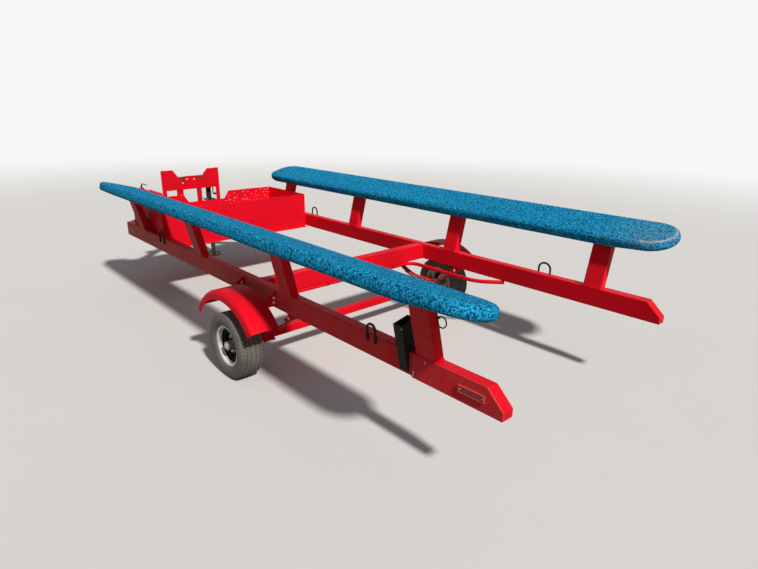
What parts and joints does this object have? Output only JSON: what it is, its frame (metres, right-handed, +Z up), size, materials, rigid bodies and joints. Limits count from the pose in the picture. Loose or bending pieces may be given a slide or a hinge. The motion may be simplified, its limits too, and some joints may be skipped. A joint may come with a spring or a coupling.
{
  "type": "boat trailer",
  "caption": "Single-axle boat trailer with two long carpeted bunks on leaning posts, open box, notched head board, fenders, ball coupler and drawbar jack.",
  "frame": {"origin": "middle of the footprint's bounding box at ground level", "axes": "+Y is the direction of travel, +X the trailer's right side, +Z up"},
  "size_m": [2.248, 6.458, 1.0426],
  "materials": {
    "red_paint": "gloss brushed-on paint, chipped",
    "bunk_carpet": "flecked outdoor carpet",
    "tyre_rubber": "dusty rubber",
    "rim_silver": "worn silver paint",
    "hub_steel": "dull steel",
    "jack_black": "satin black",
    "jack_zinc": "dull zinc",
    "coupler_dark": "dark oxide",
    "spring_steel": "dark, rusty",
    "stub_green": "dark green paint"
  },
  "bodies": {
    "frame": {"axle": "red_paint", "box_floor": "red_paint", "box_wall_front": "red_paint", "box_wall_left": "red_paint", "box_wall_rear": "red_paint", "box_wall_right": "red_paint", "bunk_left": "bunk_carpet", "bunk_right": "bunk_carpet", "clamp_left": "spring_steel", "clamp_right": "spring_steel", "conduit": "red_paint", "coupler": "red_paint", "coupler_latch": "coupler_dark", "crossmember_front": "red_paint", "crossmember_main": "red_paint", "drawbar": "red_paint", "fender_left": "red_paint", "fender_right": "red_paint", "hangers_left": "red_paint", "hangers_right": "red_paint", "headboard": "red_paint", "headboard_frame": "red_paint", "jack_crank": "jack_zinc", "jack_tube": "jack_black", "lashing_loops_front": "red_paint", "lashing_loops_rear": "red_paint", "posts_axle": "red_paint", "posts_front": "red_paint", "posts_middle": "red_paint", "posts_rear": "red_paint", "rail_left": "red_paint", "rail_right": "red_paint", "side_lamps_front": "red_paint", "side_lamps_rear": "red_paint", "spring_left": "spring_steel", "spring_right": "spring_steel", "stay_left": "red_paint", "stay_right": "red_paint", "stub_socket": "stub_green"},
    "wheel_left": {"tyre_left": "tyre_rubber", "rim_left": "rim_silver", "hub_left": "hub_steel"},
    "wheel_right": {"tyre_right": "tyre_rubber", "rim_right": "rim_silver", "hub_right": "hub_steel"},
    "jack_leg": {"jack_ram": "jack_zinc"}
  },
  "joints": [
    {"name": "wheel_left_spin", "type": "hinge", "parent": "frame", "child": "wheel_left", "pos_m": [-1.035, -1.275, 0.2245], "axis": [1, 0, 0], "continuous": true},
    {"name": "wheel_right_spin", "type": "hinge", "parent": "frame", "child": "wheel_right", "pos_m": [1.035, -1.275, 0.2245], "axis": [1, 0, 0], "continuous": true},
    {"name": "jack_slide", "type": "slide", "parent": "frame", "child": "jack_leg", "axis": [0, 0, 1], "range_m": [0, 0.25]}
  ]
}
